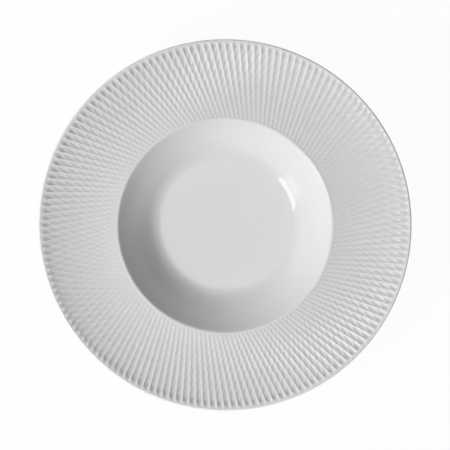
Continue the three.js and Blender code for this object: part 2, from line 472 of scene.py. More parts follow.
    def standing_run(self) -> list[Vector]:
        """Lays points round the bare standing face, from the outer glaze line to the inner one.

        Returns:
            The points in order.
        """
        curve, steps = self.sizes.foot_edge_round, self.FOOT_EDGE_STEPS
        outer_centre = self._edge_centre(self.outer_start, -1.0)
        outer = arc(outer_centre, curve, bearing(self.outer_normal), -QUARTER_TURN, steps)
        inner_centre = self._edge_centre(self.inner_start, 1.0)
        inner = arc(inner_centre, curve, -QUARTER_TURN, bearing(self.inner_normal) - FULL_TURN, steps)
        return outer + inner

    def _edge_centre(self, corner: Vector, side: float) -> Vector:
        """Finds the centre of the small round on an edge of the standing face.

        Args:
            corner: The edge before it is rounded.
            side: The way to the standing face, -1 towards the axis and 1 away from it.

        Returns:
            The centre.
        """
        curve = self.sizes.foot_edge_round
        half = (math.pi - math.radians(self.sizes.foot_flank_slope)) / 2
        return corner + Vector((side * curve / math.tan(half), curve))


@dataclass
class Ring:
    """One ring of points about the axis."""

    first: int
    columns: int


class Lathe:
    """A closed mesh laid ring by ring, from the top of the axis out over the lip and back below."""

    def __init__(self) -> None:
        """Starts an empty mesh."""
        self.points: list[tuple[float, float, float]] = []
        self.ribbed: list[float] = []
        self.faces: list[tuple[int, ...]] = []
        self.faces_in = False

    def ring(self, at: Vector, columns: int, turn: float = 0.0, ribbed: bool = False) -> Ring:
        """Lays the points of a ring.

        Args:
            at: Radius and height.
            columns: How many points go round.
            turn: Angle of the first point.
            ribbed: Whether the ribs may press these points.

        Returns:
            The ring.
        """
        first = len(self.points)
        for i in range(columns):
            angle = turn + FULL_TURN * i / columns
            self.points.append((at.x * math.cos(angle), at.x * math.sin(angle), at.y))
            self.ribbed.append(1.0 if ribbed else 0.0)
        return Ring(first, columns)

    def face(self, *corners: int) -> None:
        """Adds one face, turned over while the inner skin is laid."""
        self.faces.append(corners[::-1] if self.faces_in else corners)

    def strip(self, inner: Ring, outer: Ring, split: bool = False) -> Ring:
        """Fills the strip between two rings, whose column counts may differ by a whole factor.

        Args:
            inner: The ring that was laid first.
            outer: The next one.
            split: Whether each four-sided face is cut along the way the cross ribs run.

        Returns:
            The outer ring.
        """
        if inner.columns == outer.columns:
            self._even_strip(inner, outer, split)
        else:
            self._fanned_strip(inner, outer)
        return outer

    def _even_strip(self, inner: Ring, outer: Ring, split: bool) -> None:
        """Fills a strip between rings of the same count.

        Args:
            inner: The ring that was laid first.
            outer: The next one.
            split: Whether each four-sided face is cut in two.
        """
        count = inner.columns
        for i in range(count):
            j = (i + 1) % count
            a, b = inner.first + i, outer.first + i
            c, d = outer.first + j, inner.first + j
            if split:
                self.face(a, b, d)
                self.face(b, c, d)
            else:
                self.face(a, b, c, d)

    def _fanned_strip(self, inner: Ring, outer: Ring) -> None:
        """Fills a strip between a coarse ring and a fine one with fans.

        Args:
            inner: The ring that was laid first.
            outer: The next one.
        """
        inwards = inner.columns > outer.columns
        fine, coarse = (inner, outer) if inwards else (outer, inner)
        factor = fine.columns // coarse.columns
        for i in range(coarse.columns):
            near = coarse.first + i
            far = coarse.first + (i + 1) % coarse.columns
            row = [fine.first + (i * factor + k) % fine.columns for k in range(factor + 1)]
            half = factor // 2
            fans = [(near, row[k], row[k + 1]) for k in range(half)]
            fans.append((near, row[half], row[half + 1], far))
            fans += [(far, row[k], row[k + 1]) for k in range(half + 1, factor)]
            for fan in fans:
                self.face(*(fan[::-1] if inwards else fan))

    def run(self, last: Ring, points: list[Vector], columns: int, turn: float = 0.0) -> Ring:
        """Lays the rings of a run after the last ring.

        Args:
            last: The ring to go on from.
            points: Radius and height of each new ring.
            columns: Points of each new ring.
            turn: Angle of their first points.

        Returns:
            The new last ring.
        """
        for at in points:
            last = self.strip(last, self.ring(at, columns, turn))
        return last

    def start_disc(self, radii: list[float], height: float, columns: int, turn: float = 0.0) -> Ring:
        """Starts the mesh with a flat disc about the axis.

        Args:
            radii: Radii of its rings, rising.
            height: Its height.
            columns: Points of each ring.
            turn: Angle of their first points.

        Returns:
            The disc's outer ring.
        """
        middle = len(self.points)
        self.points.append((0.0, 0.0, height))
        self.ribbed.append(0.0)
        ring = self.ring(Vector((radii[0], height)), columns, turn)
        for i in range(columns):
            self.face(middle, ring.first + i, ring.first + (i + 1) % columns)
        return self.run(ring, [Vector((radius, height)) for radius in radii[1:]], columns, turn)

    def end_disc(self, last: Ring, radii: list[float], height: float) -> None:
        """Ends the mesh with a flat disc about the axis.

        Args:
            last: The ring to go on from.
            radii: Radii of the disc's rings, falling.
            height: Its height.
        """
        ring = self.run(last, [Vector((radius, height)) for radius in radii], last.columns)
        middle = len(self.points)
        self.points.append((0.0, 0.0, height))
        self.ribbed.append(0.0)
        for i in range(ring.columns):
            self.face(ring.first + i, middle, ring.first + (i + 1) % ring.columns)

    def piece(self, name: str) -> bpy.types.Object:
        """Makes the mesh object in metres, smooth apart from its sharp edges.

        Args:
            name: Name of the piece.

        Returns:
            The new object, linked to the scene.
        """
        mesh = bpy.data.meshes.new(name)
        scaled = [(x * MM, y * MM, z * MM) for x, y, z in self.points]
        mesh.from_pydata(scaled, [], self.faces)
        marks = mesh.attributes.new(RIB_FACE, "FLOAT", "POINT")
        marks.data.foreach_set("value", self.ribbed)
        mesh.shade_smooth()
        mesh.validate()
        return new_object(name, mesh)


class NodeSums:
    """Adds nodes to a tree, and sums, products and other mathematics as chains of Math nodes."""

    MIX_FIRST_COLOUR = 6
    MIX_SECOND_COLOUR = 7
    MIX_RESULT_COLOUR = 2

    def __init__(self, tree: bpy.types.NodeTree) -> None:
        """Keeps the tree that the nodes go into."""
        self.tree = tree

    def node(self, kind: str, **settings: object) -> bpy.types.Node:
        """Adds a node and sets its properties.

        Args:
            kind: Blender's name of the node's type.
            settings: Properties by name.

        Returns:
            The new node.
        """
        made = self.tree.nodes.new(kind)
        for name, value in settings.items():
            setattr(made, name, value)
        return made

    def feed(self, source: object, target: bpy.types.NodeSocket) -> None:
        """Joins a socket to another, or sets a plain value on it.

        Args:
            source: A socket or a plain value.
            target: The socket that it goes to.
        """
        if isinstance(source, bpy.types.NodeSocket):
            self.tree.links.new(source, target)
        else:
            target.default_value = source

    def math(self, operation: str, *values: object, clamp: bool = False) -> bpy.types.NodeSocket:
        """Adds a Math node.

        Args:
            operation: Blender's name of the operation.
            values: Its inputs, sockets or numbers.
            clamp: Whether the result is kept between 0 and 1.

        Returns:
            The result's socket.
        """
        made = self.node("ShaderNodeMath", operation=operation, use_clamp=clamp)
        for value, target in zip(values, made.inputs):
            self.feed(value, target)
        return made.outputs[0]

    def add(self, a: object, b: object) -> bpy.types.NodeSocket:
        """Adds two values."""
        return self.math("ADD", a, b)

    def take(self, a: object, b: object) -> bpy.types.NodeSocket:
        """Takes the second value from the first."""
        return self.math("SUBTRACT", a, b)

    def times(self, a: object, b: object) -> bpy.types.NodeSocket:
        """Multiplies two values."""
        return self.math("MULTIPLY", a, b)

    def over(self, a: object, b: object) -> bpy.types.NodeSocket:
        """Divides the first value by the second."""
        return self.math("DIVIDE", a, b)

    def smooth(self, share: object) -> bpy.types.NodeSocket:
        """Eases a share that runs from 0 to 1, at both of its ends."""
        return self.times(self.times(share, share), self.take(3.0, self.times(share, 2.0)))

    def between(self, share: object, low: float, high: float) -> bpy.types.NodeSocket:
        """Gives the number that lies a share of the way from low to high."""
        return self.add(self.times(share, high - low), low)

    def mix(self, share: object, first: object, second: object) -> bpy.types.NodeSocket:
        """Mixes two colours.

        Args:
            share: How much of the second colour goes in.
            first: The first colour, a socket or a plain one.
            second: The second colour.

        Returns:
            The mixed colour's socket.
        """
        made = self.node("ShaderNodeMix", data_type="RGBA")
        self.feed(share, made.inputs["Factor"])
        self.feed(first, made.inputs[self.MIX_FIRST_COLOUR])
        self.feed(second, made.inputs[self.MIX_SECOND_COLOUR])
        return made.outputs[self.MIX_RESULT_COLOUR]

    def roughen(self, shader: bpy.types.Node, height: bpy.types.NodeSocket, distance: float) -> None:
        """Gives a shader a bump.

        Args:
            shader: The shader node.
            height: Socket of the bump's height, from 0 to 1.
            distance: What a height of 1 measures, in metres.
        """
        bump = self.node("ShaderNodeBump")
        bump.inputs["Distance"].default_value = distance
        self.feed(height, bump.inputs["Height"])
        self.feed(bump.outputs["Normal"], shader.inputs["Normal"])


class RibPress:
    """The Geometry Nodes tree that presses the ribs and the cross ribs into the rim."""

    LENGTHS = (
        "circle_radius",
        "inner_radius",
        "outer_radius",
        "inner_depth",
        "outer_depth",
        "end_depth",
        "inner_fade",
        "end_length",
        "scoop_length",
        "end_lift",
        "cross_start",
    )
    SHARES = ("cross_drop", "crest_round", "end_scoop")
    CREST_WIDTH = 0.04
    WHOLE_EDGE = 0.9

    def __init__(self, sizes: RibSizes) -> None:
        """Builds the tree.

        Args:
            sizes: Sizes of the ribs.
        """
        self.sizes = sizes
        self.tree = bpy.data.node_groups.new("press_ribs", "GeometryNodeTree")
        self.tree.is_modifier = True
        self.sums = NodeSums(self.tree)
        self.values = self._input_values()
        self.identifiers: dict[str, str] = {}
        self._make_sockets()
        self._build()

    def _input_values(self) -> dict[str, float]:
        """Gives the value of each number input, lengths in metres and angles in radians.

        Returns:
            The values by name.
        """
        values = {name: getattr(self.sizes, name) * MM for name in self.LENGTHS}
        values.update({name: getattr(self.sizes, name) for name in self.SHARES})
        values["count"] = float(self.sizes.count)
        values["cross_lean"] = math.radians(self.sizes.cross_lean)
        return values

    def _make_sockets(self) -> None:
        """Makes the tree's named inputs and its output."""
        panel = self.tree.interface
        panel.new_socket("Geometry", in_out="INPUT", socket_type="NodeSocketGeometry")
        for name in self.values:
            label = name.replace("_", " ").capitalize()
            socket = panel.new_socket(label, in_out="INPUT", socket_type="NodeSocketFloat")
            self.identifiers[name] = socket.identifier
        socket = panel.new_socket("Finish", in_out="INPUT", socket_type="NodeSocketMaterial")
        self.identifiers["finish"] = socket.identifier
        panel.new_socket("Geometry", in_out="OUTPUT", socket_type="NodeSocketGeometry")

    def _build(self) -> None:
        """Lays out the tree from the flat rim to the pressed and dressed one."""
        sums = self.sums
        group = sums.node("NodeGroupInput")
        self.given = {name: group.outputs[i + 1] for i, name in enumerate(self.values)}
        self.radius, self.angle = self._polar()
        share, crest = self._pit_share()
        depth = sums.times(share, self._full_depth())
        drop = sums.node("ShaderNodeCombineXYZ")
        sums.feed(sums.take(self._end_rise(), depth), drop.inputs["Z"])
        press = sums.node("GeometryNodeSetPosition")
        sums.feed(group.outputs["Geometry"], press.inputs["Geometry"])
        sums.feed(drop.outputs["Vector"], press.inputs["Offset"])
        sharp = sums.node("GeometryNodeStoreNamedAttribute", data_type="BOOLEAN", domain="EDGE")
        sums.feed(press.outputs["Geometry"], sharp.inputs["Geometry"])
        sums.feed("sharp_edge", sharp.inputs["Name"])
        sums.feed(crest, sharp.inputs["Value"])
        # Stores the depth as a share of the scoops' depth, the mask of the painted shade and pooled glaze
        # in the glaze colour
        store = sums.node("GeometryNodeStoreNamedAttribute", data_type="FLOAT", domain="POINT")
        sums.feed(sharp.outputs["Geometry"], store.inputs["Geometry"])
        sums.feed(PIT_SHADE, store.inputs["Name"])
        sums.feed(sums.over(depth, self.given["end_depth"]), store.inputs["Value"])
        realize = sums.node("GeometryNodeRealizeInstances")
        sums.feed(store.outputs["Geometry"], realize.inputs["Geometry"])
        dress = sums.node("GeometryNodeSetMaterial")
        sums.feed(realize.outputs["Geometry"], dress.inputs["Geometry"])
        sums.feed(group.outputs["Finish"], dress.inputs["Material"])
        out = sums.node("NodeGroupOutput")
        sums.feed(dress.outputs["Geometry"], out.inputs["Geometry"])

    def _polar(self) -> tuple[bpy.types.NodeSocket, bpy.types.NodeSocket]:
        """Finds where each point lies about the axis.

        Returns:
            Sockets of its distance from the axis, from the inner ends of the ribs on, and of its angle.
        """
        sums = self.sums
        place = sums.node("GeometryNodeInputPosition")
        parts = sums.node("ShaderNodeSeparateXYZ")
        sums.feed(place.outputs["Position"], parts.inputs["Vector"])
        x, y = parts.outputs["X"], parts.outputs["Y"]
        radius = sums.math("SQRT", sums.add(sums.times(x, x), sums.times(y, y)))
        return sums.math("MAXIMUM", radius, self.given["inner_radius"]), sums.math("ARCTAN2", y, x)

    def _lean_at(self, radius: object) -> bpy.types.NodeSocket:
        """Gives the angle between a rib and the circle's radius, at a distance from the axis."""
        return self.sums.math("ARCCOSINE", self.sums.over(self.given["circle_radius"], radius))

    def _pit_share(self) -> tuple[bpy.types.NodeSocket, bpy.types.NodeSocket]:
        """Works out the pattern of pits and crests.

        Returns:
            Sockets of each point's depth, as a share of a pit's full depth, and of the edges on a crest.
        """
        sums, given = self.sums, self.given
        per_turn = sums.over(given["count"], FULL_TURN)
        lean = self._lean_at(self.radius)
        swing = sums.take(lean, self._lean_at(given["inner_radius"]))
        rib_phase = sums.times(sums.take(self.angle, swing), per_turn)
        start = sums.take(given["outer_radius"], given["cross_start"])
        left = sums.take(self._lean_at(start), lean)
        spiral = sums.times(
            sums.math("TANGENT", given["cross_lean"]),
            sums.math("LOGARITHM", sums.over(start, self.radius), math.e),
        )
        rows = sums.times(sums.add(left, spiral), per_turn)
        cross_phase = sums.add(sums.take(rib_phase, rows), HALF_ROW)
        rib_way = sums.math("PINGPONG", sums.times(rib_phase, 2.0), 1.0)
        cross_way = sums.math("PINGPONG", sums.times(cross_phase, 2.0), 1.0)
        nearest = sums.math("MINIMUM", rib_way, cross_way)
        crest = sums.math("LESS_THAN", nearest, self.CREST_WIDTH)
        across = self._from_crest(rib_way)
        groove = sums.times(across, sums.take(2.0, across))
        cross = sums.math("POWER", sums.take(1.0, self._from_crest(cross_way)), 2.0)
        height = sums.times(sums.take(1.0, given["cross_drop"]), sums.take(1.0, self._near_end()))
        cut = sums.take(1.0, sums.times(cross, height))
        ends = sums.times(self._outer_end(across), self._inner_end())
        marked = self._marked()
        share = sums.times(sums.times(sums.times(groove, cut), ends), marked)
        return share, sums.math("GREATER_THAN", sums.times(crest, marked), self.WHOLE_EDGE)

    def _from_crest(self, raw: object) -> bpy.types.NodeSocket:
        """Rounds the crests.

        Args:
            raw: Distance from the nearest crest, 1 half way to the next.

        Returns:
            Socket of that distance with the crest rounded.
        """
        sums = self.sums
        soft = self.given["crest_round"]
        square = sums.add(sums.times(raw, raw), sums.times(soft, soft))
        return sums.math("MINIMUM", sums.take(sums.math("SQRT", square), soft), 1.0)

    def _outer_end(self, across: object) -> bpy.types.NodeSocket:
        """Shapes the scooped outer end of a groove.

        Args:
            across: Distance from the nearest rib's crest, 1 in the middle of the groove.

        Returns:
            Socket of the share of the depth that is left, 0 where the plain edge begins.
        """
        sums, given = self.sums, self.given
        reach = sums.over(sums.take(given["outer_radius"], self.radius), given["end_length"])
        corner = sums.math("POWER", sums.take(1.0, across), 2.0)
        inside = sums.math("SUBTRACT", reach, sums.times(corner, given["end_scoop"]), clamp=True)
        return sums.smooth(inside)

    def _end_rise(self) -> bpy.types.NodeSocket:
        """Raises the ribs' outer ends, so that each scoop lies half in the rim.

        Returns:
            Socket of the rise in metres.
        """
        sums, given = self.sums, self.given
        reach = sums.take(given["outer_radius"], self.radius)
        share = sums.math("DIVIDE", reach, given["end_length"], clamp=True)
        smooth = sums.smooth(share)
        rise = sums.times(sums.times(given["end_lift"], self._near_end()), smooth)
        return sums.times(rise, self._marked())

    def _marked(self) -> bpy.types.NodeSocket:
        """Reads the mark of the points that the ribs may press.

        Returns:
            Socket of the mark, 1 on those points and 0 elsewhere.
        """
        mark = self.sums.node("GeometryNodeInputNamedAttribute", data_type="FLOAT")
        self.sums.feed(RIB_FACE, mark.inputs["Name"])
        return mark.outputs["Attribute"]

    def _inner_end(self) -> bpy.types.NodeSocket:
        """Shapes the fading inner end of a groove.

        Returns:
            Socket of the share of the depth that is left, 0 at the well's edge.
        """
        sums, given = self.sums, self.given
        reach = sums.take(self.radius, given["inner_radius"])
        share = sums.math("DIVIDE", reach, given["inner_fade"], clamp=True)
        return sums.smooth(share)

    def _full_depth(self) -> bpy.types.NodeSocket:
        """Gives the full depth of a pit at each point's distance from the axis.

        Returns:
            Socket of the depth in metres.
        """
        sums, given = self.sums, self.given
        width = sums.take(given["outer_radius"], given["inner_radius"])
        share = sums.math("DIVIDE", sums.take(self.radius, given["inner_radius"]), width, clamp=True)
        gain = sums.take(given["outer_depth"], given["inner_depth"])
        plain = sums.add(given["inner_depth"], sums.times(share, gain))
        scoop = sums.times(self._near_end(), sums.take(given["end_depth"], given["outer_depth"]))
        return sums.add(plain, scoop)

    def _near_end(self) -> bpy.types.NodeSocket:
        """Tells how far a point is in the scoop at a groove's outer end.

        Returns:
            Socket of a share, 1 in the scoop and falling to 0 further in.
        """
        sums, given = self.sums, self.given
        reach = sums.take(given["outer_radius"], self.radius)
        ramp = sums.take(given["scoop_length"], given["end_length"])
        return sums.math("DIVIDE", sums.take(given["scoop_length"], reach), ramp, clamp=True)

    def press(self, piece: bpy.types.Object, finish: bpy.types.Material) -> None:
        """Presses the ribs into a piece and leaves it a plain mesh.

        Args:
            piece: The glazed piece, with its rim still flat.
            finish: Material that the tree sets on it.
        """
        modifier = piece.modifiers.new("press_ribs", "NODES")
        modifier.node_group = self.tree
        for name, value in self.values.items():
            modifier[self.identifiers[name]] = value
        modifier[self.identifiers["finish"]] = finish
        shaped = piece.evaluated_get(bpy.context.evaluated_depsgraph_get())
        mesh = bpy.data.meshes.new_from_object(shaped)
        piece.modifiers.remove(modifier)
        flat = piece.data
        mesh.name = piece.name
        piece.data = mesh
        bpy.data.meshes.remove(flat)


class MottleGroup:
    """A shader node group of soft blotches and fine grain, which glaze and clay share."""

    def __init__(self) -> None:
        """Builds the group with its named inputs and outputs."""
        self.tree = bpy.data.node_groups.new("mottle", "ShaderNodeTree")
        panel = self.tree.interface
        for label in ("Blotch scale", "Grain scale", "Grain detail"):
            panel.new_socket(label, in_out="INPUT", socket_type="NodeSocketFloat")
        for label in ("Blotch", "Grain"):
            panel.new_socket(label, in_out="OUTPUT", socket_type="NodeSocketFloat")
        sums = NodeSums(self.tree)
        given = sums.node("NodeGroupInput")
        put = sums.node("NodeGroupOutput")
        place = sums.node("ShaderNodeTexCoord")
        blotch = sums.node("ShaderNodeTexNoise")
        sums.feed(place.outputs["Object"], blotch.inputs["Vector"])
        sums.feed(given.outputs["Blotch scale"], blotch.inputs["Scale"])
        grain = sums.node("ShaderNodeTexNoise")
        sums.feed(place.outputs["Object"], grain.inputs["Vector"])
        sums.feed(given.outputs["Grain scale"], grain.inputs["Scale"])
        sums.feed(given.outputs["Grain detail"], grain.inputs["Detail"])
        sums.feed(blotch.outputs["Fac"], put.inputs["Blotch"])
        sums.feed(grain.outputs["Fac"], put.inputs["Grain"])

    def place(self, sums: NodeSums, blotch: float, grain: float, detail: float) -> bpy.types.Node:
        """Places the group in a material.

        Args:
            sums: The material's tree.
            blotch: Scale of the blotches.
            grain: Scale of the grain.
            detail: Detail of the grain.

        Returns:
            The group's node.
        """
        made = sums.node("ShaderNodeGroup", node_tree=self.tree)
        made.inputs["Blotch scale"].default_value = blotch
        made.inputs["Grain scale"].default_value = grain
        made.inputs["Grain detail"].default_value = detail
        return made


@dataclass(frozen=True)
class GlazeFinish:
    """Clear gloss glaze over white porcelain, a little deeper in colour in the pits, partly as pooled glaze
    and partly as painted shade.
    """

    mottle: MottleGroup
    thin_colour: Colour = grey(0.92)
    blotch_colour: Colour = grey(0.905)
    pool_and_shade_colour: Colour = grey(0.77)
    blotch_scale: float = 45.0
    wave_scale: float = 260.0
    wave_detail: float = 1.0
    wave_height: float = 0.000004
    smooth_roughness: float = 0.03
    dull_roughness: float = 0.05
    refraction: float = 1.5

    def material(self) -> bpy.types.Material:
        """Builds the glaze's material.

        Returns:
            The new material.
        """
        made = bpy.data.materials.new("white_glaze")
        made.use_nodes = True
        sums = NodeSums(made.node_tree)
        shader = made.node_tree.nodes["Principled BSDF"]
        mottle = self.mottle.place(sums, self.blotch_scale, self.wave_scale, self.wave_detail)
        blotch = mottle.outputs["Blotch"]
        pit = sums.node("ShaderNodeAttribute", attribute_name=PIT_SHADE)
        cloudy = sums.mix(blotch, self.thin_colour, self.blotch_colour)
        # Painted shade: the colour darkens towards the pool colour with each pit's depth, standing in
        # partly for pooled glaze and partly for the shade that falls in the pits
        pooled_and_shaded = sums.mix(pit.outputs["Fac"], cloudy, self.pool_and_shade_colour)
        sums.feed(pooled_and_shaded, shader.inputs["Base Color"])
        rough = sums.between(blotch, self.smooth_roughness, self.dull_roughness)
        sums.feed(rough, shader.inputs["Roughness"])
        sums.roughen(shader, mottle.outputs["Grain"], self.wave_height)
        shader.inputs["IOR"].default_value = self.refraction
        return made


@dataclass(frozen=True)
class BareClayFinish:
    """Bare fired clay, matt and fine-grained, greyed a little where it rubs the table."""

    mottle: MottleGroup
    clay_colour: Colour = (0.76, 0.74, 0.7, 1.0)
    stain_colour: Colour = (0.66, 0.64, 0.6, 1.0)
    stain_scale: float = 140.0
    grain_scale: float = 2200.0
    grain_detail: float = 5.0
    grain_height: float = 0.00012
    roughness_low: float = 0.72
    roughness_high: float = 0.92

    def material(self) -> bpy.types.Material:
        """Builds the clay's material.

        Returns:
            The new material.
        """
        made = bpy.data.materials.new("bare_clay")
        made.use_nodes = True
        sums = NodeSums(made.node_tree)
        shader = made.node_tree.nodes["Principled BSDF"]
        mottle = self.mottle.place(sums, self.stain_scale, self.grain_scale, self.grain_detail)
        grain = mottle.outputs["Grain"]
        stain = sums.times(mottle.outputs["Blotch"], grain)
        sums.feed(sums.mix(stain, self.clay_colour, self.stain_colour), shader.inputs["Base Color"])
        rough = sums.between(grain, self.roughness_low, self.roughness_high)
        sums.feed(rough, shader.inputs["Roughness"])
        sums.roughen(shader, grain, self.grain_height)
        return made


@dataclass
class Plate:
    """The whole plate: its glaze coat, its clay body and the glaze in its foot recess."""

    sizes: PlateSizes = field(default_factory=PlateSizes)
    ribs: RibSizes = field(default_factory=RibSizes)
    steps_per_rib: int = 7
    fan: int = 5
    clay_columns: int = 112
    sharp_angle: float = 70.0
    glaze_steps: FaceSteps = FaceSteps(
        floor=14, wall=6, edge=5, lip=7, under_rim=3, under_edge=4, outer_wall=5, base=6, root=3, recess=8
    )
    clay_steps: FaceSteps = FaceSteps(
        floor=3, wall=3, edge=1, lip=3, under_rim=3, under_edge=2, outer_wall=3, base=3, root=2, recess=3
    )
    clay_rim_steps: int = 5
    END_ROWS: ClassVar[int] = 2
    END_RINGS: ClassVar[tuple[float, ...]] = (0.94, 0.77, 0.59, 0.41, 0.22, 0.0)
    FLOOR_RINGS: ClassVar[tuple[float, ...]] = (0.25, 0.5, 0.75, 1.0)
    CEILING_RINGS: ClassVar[tuple[float, ...]] = (0.7, 0.4, 0.15)

    def __post_init__(self) -> None:
        """Works out the half section and the counts of columns."""
        self.section = HalfSection(self.sizes)
        self.rib_columns = self.ribs.count * self.steps_per_rib
        self.columns = self.rib_columns // self.fan

    def build(self) -> list[bpy.types.Object]:
        """Builds, dresses and declares all pieces.

        Returns:
            The pieces.
        """
        mottle = MottleGroup()
        glaze = GlazeFinish(mottle).material()
        clay = BareClayFinish(mottle).material()
        coat = self.coat(glaze)
        body = self.body(clay)
        recess = self.recess(glaze)
        self._declare(coat, Node.COAT, Slot.GLAZE)
        self._declare(body, Node.BODY, Slot.PORCELAIN)
        self._declare(recess, Node.RECESS, Slot.GLAZE)
        return [coat, body, recess]

    @staticmethod
    def _declare(piece: bpy.types.Object, node: Node, slot: Slot) -> None:
        """Says which body a piece rides on, which solid it stands for and which slot it takes.

        Args:
            piece: The finished piece.
            node: The solid.
            slot: The material slot, not used.
        """
        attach(piece, "root")
        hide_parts(node.value)

    def _finish_mesh(self, piece: bpy.types.Object) -> None:
        """Marks the sharp edges of a piece."""
        piece.data.set_sharp_from_angle(angle=math.radians(self.sharp_angle))

    def coat(self, glaze: bpy.types.Material) -> bpy.types.Object:
        """Builds the main glaze coat, from the well over the ribbed rim to the foot ring.

        Args:
            glaze: Its material.

        Returns:
            The piece.
        """
        lathe = Lathe()
        section, columns, steps = self.section, self.columns, self.glaze_steps
        floor_edge, *well = section.well_run(0.0, steps)
        radii = [floor_edge.x * share for share in self.FLOOR_RINGS]
        last = lathe.start_disc(radii, section.floor_height, columns)
        last = lathe.run(last, well, columns)
        last = self._rib_zone(lathe, last)
        turn = self.ribs.swing(self.ribs.outer_radius)
        below = section.lip_run(0.0, steps) + section.under_rim_run(0.0, steps)
        below += section.outside_run(0.0, steps)
        last = lathe.run(last, below, columns, turn)
        skin_end = self._clay_skin(lathe, turn)
        lathe.strip(last, skin_end)
        piece = lathe.piece("fine_glaze_coat")
        self._finish_mesh(piece)
        RibPress(self.ribs).press(piece, glaze)
        return piece

    def _rib_zone(self, lathe: Lathe, last: Ring) -> Ring:
        """Lays the rings that the ribs are pressed into, each turned to follow the ribs.

        Args:
            lathe: The mesh being laid.
            last: The last ring at the well's edge.

        Returns:
            The ring at the outer ends of the ribs.
        """
        ribs, section = self.ribs, self.section
        steps = self.steps_per_rib
        first = math.floor((ribs.rows_outside(ribs.inner_radius) - HALF_ROW) * steps)
        rows = [HALF_ROW + j / steps for j in range(first, -self.END_ROWS * steps, -1)]
        end_row = ribs.rows_outside(ribs.outer_radius - ribs.end_length)
        rows = [row for row in rows if row > end_row]
        radii = [ribs.inner_radius] + [ribs.radius_of_row(row) for row in rows]
        radii += [ribs.outer_radius - ribs.end_length * share for share in self.END_RINGS]
        for radius in radii:
            at = Vector((radius, section.rim_height(radius)))
            ring = lathe.ring(at, self.rib_columns, ribs.swing(radius), ribbed=True)
            last = lathe.strip(last, ring, split=True)
        return last

    def _clay_skin(self, lathe: Lathe, turn: float) -> Ring:
        """Lays the coat's inner skin, which lies on the clay.

        Args:
            lathe: The mesh being laid.
            turn: Angle of the first points.

        Returns:
            The skin's last ring, at the glaze line.
        """
        lathe.faces_in = True
        last = self._clay_face(lathe, self.columns, turn)
        lathe.faces_in = False
        return last

    def _clay_face(self, lathe: Lathe, line_columns: int, turn: float) -> Ring:
        """Lays the clay's face under the coat, down to the glaze line.

        Args:
            lathe: The mesh being laid.
            line_columns: Points of the ring at the glaze line.
            turn: Angle of the first points.

        Returns:
            The ring at the glaze line.
        """
        inset = self.sizes.glaze_thickness
        section, columns, steps = self.section, self.clay_columns, self.clay_steps
        floor_edge, *well = section.well_run(inset, steps)
        last = lathe.start_disc([floor_edge.x], floor_edge.y, columns, turn)
        *outside, line = section.outside_run(inset, steps)
        below = section.lip_run(inset, steps)[1:] + section.under_rim_run(inset, steps) + outside
        last = lathe.run(last, well + self._clay_rim() + below, columns, turn)
        return lathe.strip(last, lathe.ring(line, line_columns, turn))

    def _clay_rim(self) -> list[Vector]:
        """Lays points on the clay's plain face under the ribs.

        Returns:
            The points in order.
        """
        ribs, inset = self.ribs, self.sizes.glaze_thickness
        width = ribs.outer_radius - ribs.end_length - ribs.inner_radius
        points = []
        for i in range(self.clay_rim_steps + 1):
            radius = ribs.inner_radius + width * i / self.clay_rim_steps
            share = (radius - ribs.inner_radius) / (ribs.outer_radius - ribs.inner_radius)
            depth = ribs.inner_depth + share * (ribs.end_depth - ribs.inner_depth)
            points.append(Vector((radius, self.section.rim_height(radius) - depth - inset)))
        return points

    def body(self, clay: bpy.types.Material) -> bpy.types.Object:
        """Builds the clay body, which shows bare on the foot ring.

        Args:
            clay: Its material.

        Returns:
            The piece.
        """
        lathe = Lathe()
        last = self._clay_face(lathe, self.columns, 0.0)
        last = lathe.run(last, self.section.standing_run(), self.columns)
        line, *recess = self.section.recess_run(self.sizes.glaze_thickness, self.clay_steps)
        last = lathe.run(last, [line], self.columns)
        last = lathe.run(last, recess, self.clay_columns)
        lathe.end_disc(last, [], self.sizes.foot_height + self.sizes.glaze_thickness)
        piece = lathe.piece("fine_clay_body")
        piece.data.materials.append(clay)
        self._finish_mesh(piece)
        return piece

    def recess(self, glaze: bpy.types.Material) -> bpy.types.Object:
        """Builds the separate patch of glaze inside the foot ring.

        Args:
            glaze: Its material.

        Returns:
            The piece.
        """
        lathe = Lathe()
        inset = self.sizes.glaze_thickness
        glaze_line, *face = self.section.recess_run(0.0, self.glaze_steps)
        clay_line, *skin = self.section.recess_run(inset, self.clay_steps)
        start = lathe.ring(clay_line, self.columns)
        last = lathe.run(start, [glaze_line] + face, self.columns)
        radii = [share * face[-1].x for share in self.CEILING_RINGS]
        lathe.end_disc(last, radii, self.sizes.foot_height)
        lathe.faces_in = True
        last = lathe.run(start, skin, self.clay_columns)
        lathe.end_disc(last, [], self.sizes.foot_height + inset)
        piece = lathe.piece("fine_recess_glaze")
        piece.data.materials.append(glaze)
        self._finish_mesh(piece)
        return piece


@dataclass(frozen=True)
class Softbox:
    """A soft lamp that faces the plate, in metres, degrees and watts."""

    name: str
    azimuth: float
    zenith: float
    distance: float
    width: float
    height: float
    power: float
    mirrored: bool = True

    def hang(self, target: Vector) -> None:
        """Makes the lamp and turns it to the target.

        Args:
            target: The point that it faces.
        """
        lamp = bpy.data.lights.new(self.name, "AREA")
        lamp.shape = "RECTANGLE"
        lamp.size = self.width
        lamp.size_y = self.height
        lamp.energy = self.power
        made = new_object(self.name, lamp)
        back = sky_direction(self.azimuth, self.zenith)
        made.location = target + back * self.distance
        made.rotation_euler = (-back).to_track_quat("-Z", "Y").to_euler()
        made.visible_glossy = self.mirrored


